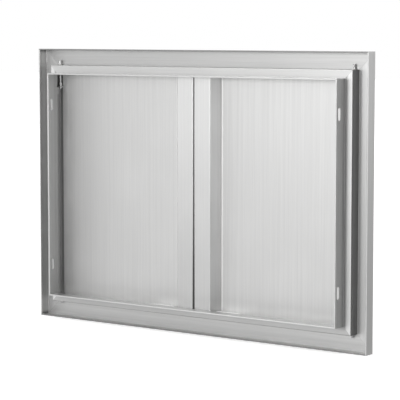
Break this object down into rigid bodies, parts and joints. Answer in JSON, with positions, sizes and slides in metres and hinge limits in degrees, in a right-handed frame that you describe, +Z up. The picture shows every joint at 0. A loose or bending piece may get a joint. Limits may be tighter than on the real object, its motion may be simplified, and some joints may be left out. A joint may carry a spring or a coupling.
{
  "type": "barbecue island access door",
  "caption": "Double stainless access door for a grill island: hemmed, mitred frame, pan doors on pivot pins, magnetic catches and upright bar handles.",
  "frame": {"origin": "centre of the opening, in the plane of the back edge of the outer lip, where the unit seats against the island's wall", "axes": "+X to the right seen from the front, +Y into the island, +Z up; the front faces -Y"},
  "size_m": [0.762, 0.0938, 0.5334],
  "materials": {
    "frame_steel": "brushed along each rail, mitres welded and dressed",
    "door_steel": "upright brushed grain",
    "bracket_steel": "mill finish",
    "pin_steel": "turned and lightly polished",
    "fastener_steel": "plain",
    "handle_steel": "fine satin along the tube",
    "plated_steel": "zinc plated, dull",
    "magnet_ferrite": "dark ceramic ferrite",
    "catch_plastic": "white moulded plastic",
    "bush_nylon": "natural nylon",
    "bumper_rubber": "soft black rubber"
  },
  "bodies": {
    "frame": {"frame_top_rail": "frame_steel", "frame_bottom_rail": "frame_steel", "frame_left_stile": "frame_steel", "frame_right_stile": "frame_steel", "top_pivot_bushes": "bush_nylon", "bottom_pivot_bushes": "bush_nylon", "strike_plates": "plated_steel", "stop_bumpers": "bumper_rubber"},
    "left_door": {"left_door_pan": "door_steel", "left_edge_stiffener": "door_steel", "left_hinge_bracket": "bracket_steel", "left_pivot_doubler": "bracket_steel", "left_top_pin": "pin_steel", "left_pin_collar": "pin_steel", "left_collar_screw": "fastener_steel", "left_bottom_pin": "pin_steel", "left_catch_body": "catch_plastic", "left_catch_magnet": "magnet_ferrite", "left_catch_poles": "plated_steel", "left_catch_screws": "fastener_steel", "left_handle_bar": "handle_steel", "left_handle_caps": "handle_steel", "left_handle_posts": "handle_steel"},
    "right_door": {"right_door_pan": "door_steel", "right_edge_stiffener": "door_steel", "right_hinge_bracket": "bracket_steel", "right_pivot_doubler": "bracket_steel", "right_top_pin": "pin_steel", "right_pin_collar": "pin_steel", "right_collar_screw": "fastener_steel", "right_bottom_pin": "pin_steel", "right_catch_body": "catch_plastic", "right_catch_magnet": "magnet_ferrite", "right_catch_poles": "plated_steel", "right_catch_screws": "fastener_steel", "right_handle_bar": "handle_steel", "right_handle_caps": "handle_steel", "right_handle_posts": "handle_steel"}
  },
  "joints": [
    {"name": "left_door_hinge", "type": "hinge", "parent": "frame", "child": "left_door", "pos_m": [-0.341, -0.0191, 0], "axis": [0, 0, -1], "range_deg": [0, 105]},
    {"name": "right_door_hinge", "type": "hinge", "parent": "frame", "child": "right_door", "pos_m": [0.341, -0.0191, 0], "axis": [0, 0, 1], "range_deg": [0, 105]}
  ]
}
